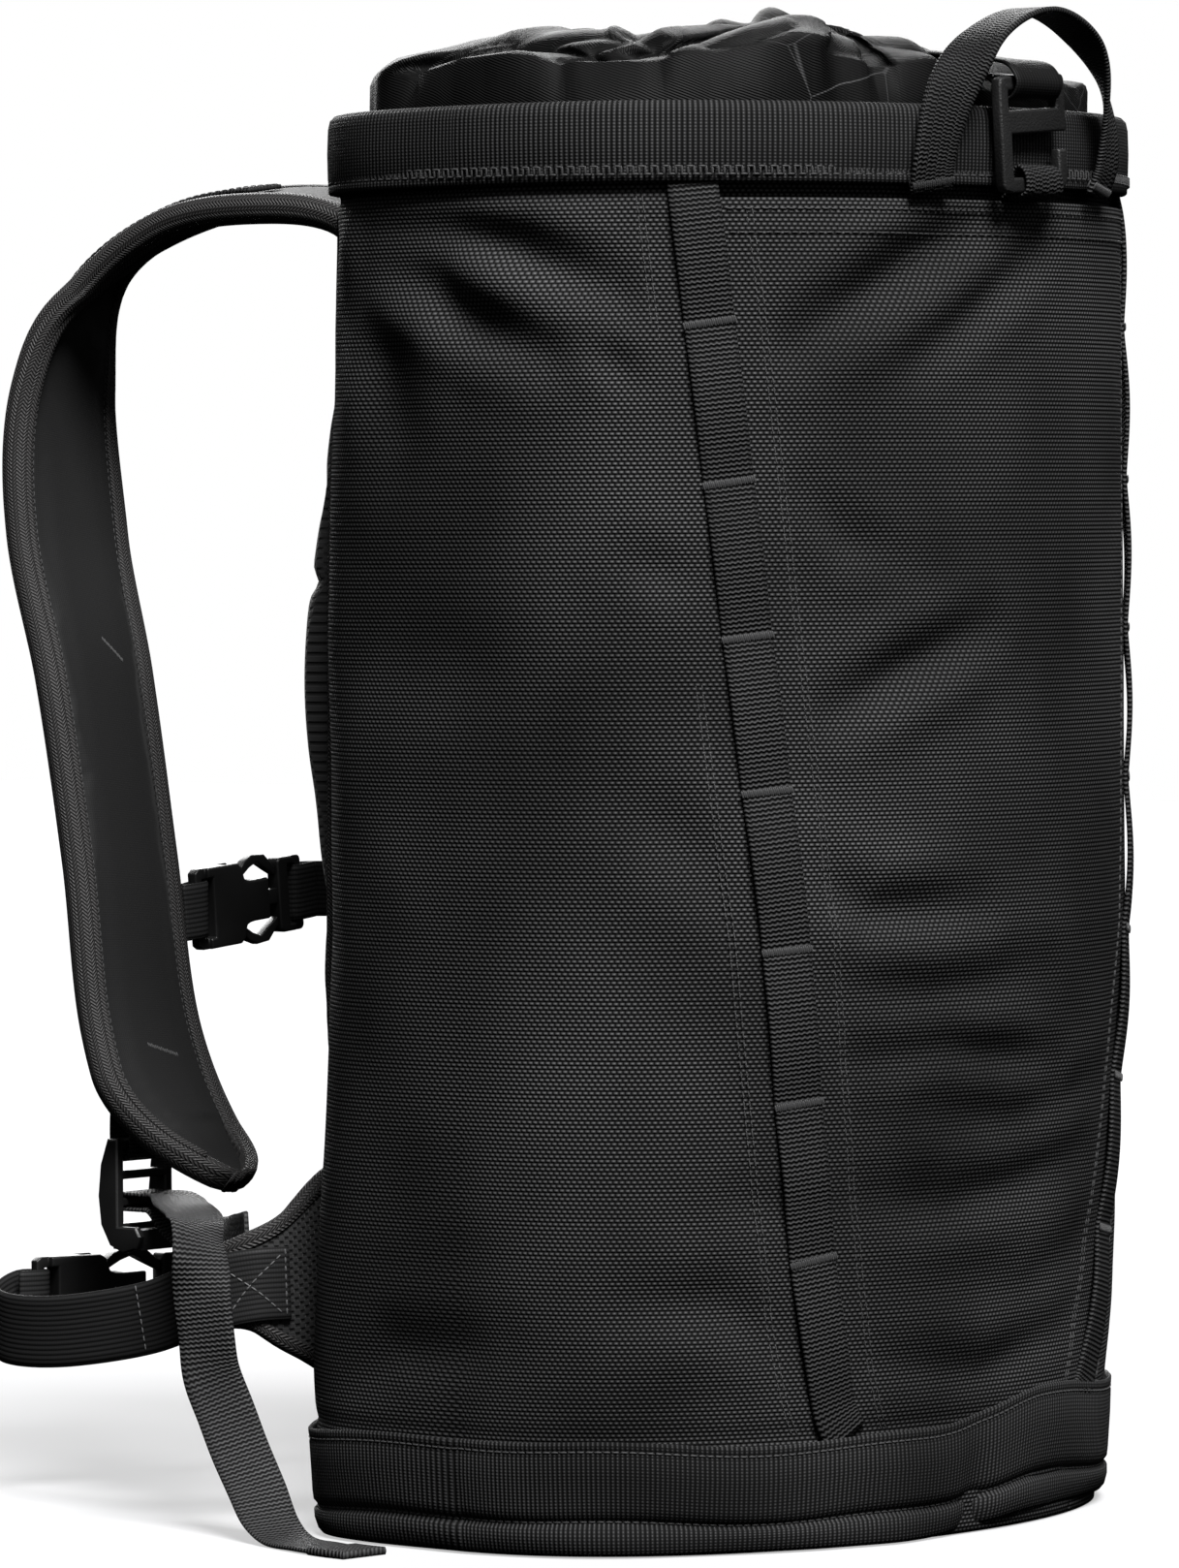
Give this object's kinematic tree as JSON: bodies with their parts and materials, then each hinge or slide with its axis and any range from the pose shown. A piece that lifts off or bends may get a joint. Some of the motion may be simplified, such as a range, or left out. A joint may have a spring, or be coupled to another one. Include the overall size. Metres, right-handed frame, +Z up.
{
  "type": "rope storage bag",
  "caption": "Upright soft rope and gear bag worn on the back, with gathered collar, haul loop, daisy chains, padded shoulder straps and a buckled webbing hip belt.",
  "frame": {"origin": "centre of the base's underside, on the floor", "axes": "+Z up the bag, -Y out of its front, +Y towards the wearer, -X to the wearer's left"},
  "size_m": [0.374, 0.399, 0.5156],
  "materials": {
    "ballistic_nylon": "tight ballistic basket weave, slight sheen",
    "webbing": "ribbed polyester webbing",
    "strap_face": "smooth matte face cloth over foam",
    "spacer_mesh": "open spacer mesh over foam",
    "collar_cloth": "thin crumpled coated nylon with a soft sheen",
    "drawcord": "braided cord",
    "buckle_plastic": "satin acetal",
    "sheet_plastic": "thin stiffener sheet",
    "spring_steel": "wire spring"
  },
  "bodies": {
    "bag": {"side_panel_left": "ballistic_nylon", "side_panel_right": "ballistic_nylon", "back_panel": "ballistic_nylon", "front_wall": "ballistic_nylon", "front_pocket_panel": "ballistic_nylon", "floor_panel": "ballistic_nylon", "floor_stiffener": "sheet_plastic", "base_webbing": "webbing", "rim_webbing": "webbing", "frame_sheet": "sheet_plastic", "back_pad": "spacer_mesh", "collar": "collar_cloth", "drawcord_ring": "drawcord", "drawcord_tail": "drawcord", "cord_lock_barrel": "buckle_plastic", "cord_lock_spring": "spring_steel", "keeper_loop": "webbing", "top_hook": "buckle_plastic", "top_strap": "webbing", "sternum_buckle_housing": "buckle_plastic", "sternum_buckle_insert": "buckle_plastic", "hip_buckle_housing": "buckle_plastic", "hip_buckle_insert": "buckle_plastic", "daisy_chain_left": "webbing", "daisy_chain_right": "webbing", "shoulder_strap_left": "strap_face", "shoulder_strap_right": "strap_face", "strap_webbing_left": "webbing", "strap_webbing_right": "webbing", "ladder_loop_left": "webbing", "ladder_loop_right": "webbing", "adjuster_webbing_left": "webbing", "adjuster_webbing_right": "webbing", "adjuster_tail_left": "webbing", "adjuster_tail_right": "webbing", "sternum_webbing_left": "webbing", "sternum_webbing_right": "webbing", "hip_wing_left": "spacer_mesh", "hip_wing_right": "spacer_mesh", "hip_webbing_left": "webbing", "hip_webbing_right": "webbing"},
    "haul_loop": {"haul_loop": "webbing"},
    "ladder_lock_left": {"ladder_lock_left": "buckle_plastic", "adjuster_wrap_left": "webbing"},
    "ladder_lock_right": {"ladder_lock_right": "buckle_plastic", "adjuster_wrap_right": "webbing"},
    "sternum_arm_upper": {"sternum_buckle_arm_upper": "buckle_plastic"},
    "sternum_arm_lower": {"sternum_buckle_arm_lower": "buckle_plastic"},
    "hip_arm_upper": {"hip_buckle_arm_upper": "buckle_plastic"},
    "hip_arm_lower": {"hip_buckle_arm_lower": "buckle_plastic"},
    "cord_lock_plunger": {"cord_lock_plunger": "buckle_plastic"}
  },
  "joints": [
    {"name": "haul_loop_swing", "type": "hinge", "parent": "bag", "child": "haul_loop", "pos_m": [0, -0.1195, 0.4505], "axis": [1, 0, 0], "range_deg": [0, 145]},
    {"name": "ladder_lock_tilt_left", "type": "hinge", "parent": "bag", "child": "ladder_lock_left", "pos_m": [-0.1, 0.1906, 0.126], "axis": [1, 0, 0], "range_deg": [0, 22]},
    {"name": "ladder_lock_tilt_right", "type": "hinge", "parent": "bag", "child": "ladder_lock_right", "pos_m": [0.1, 0.1906, 0.126], "axis": [1, 0, 0], "range_deg": [0, 22]},
    {"name": "sternum_arm_squeeze_upper", "type": "hinge", "parent": "bag", "child": "sternum_arm_upper", "pos_m": [-0.00795, 0.2095, 0.21771], "axis": [0, -1, 0], "range_deg": [0, 6], "stiffness_Nm_per_rad": 0.4},
    {"name": "sternum_arm_squeeze_lower", "type": "hinge", "parent": "bag", "child": "sternum_arm_lower", "pos_m": [-0.00638, 0.2095, 0.19978], "axis": [0, -1, 0], "range_deg": [-6, 0], "stiffness_Nm_per_rad": 0.4},
    {"name": "hip_arm_squeeze_upper", "type": "hinge", "parent": "bag", "child": "hip_arm_upper", "pos_m": [-0.05416, 0.22464, 0.0785], "axis": [-0.2588, -0.9659, 0], "range_deg": [0, 6], "stiffness_Nm_per_rad": 0.4},
    {"name": "hip_arm_squeeze_lower", "type": "hinge", "parent": "bag", "child": "hip_arm_lower", "pos_m": [-0.05416, 0.22464, 0.0555], "axis": [-0.2588, -0.9659, 0], "range_deg": [-6, 0], "stiffness_Nm_per_rad": 0.4},
    {"name": "cord_lock_press", "type": "slide", "parent": "bag", "child": "cord_lock_plunger", "axis": [0, 0, -1], "range_m": [0, 0.004], "stiffness_N_per_m": 300, "springref_m": -0.004, "deforming": ["cord_lock_spring"]}
  ],
  "couplings": [
    {"joint": "sternum_arm_squeeze_lower", "follows": "sternum_arm_squeeze_upper", "ratio": -1},
    {"joint": "hip_arm_squeeze_lower", "follows": "hip_arm_squeeze_upper", "ratio": -1}
  ]
}
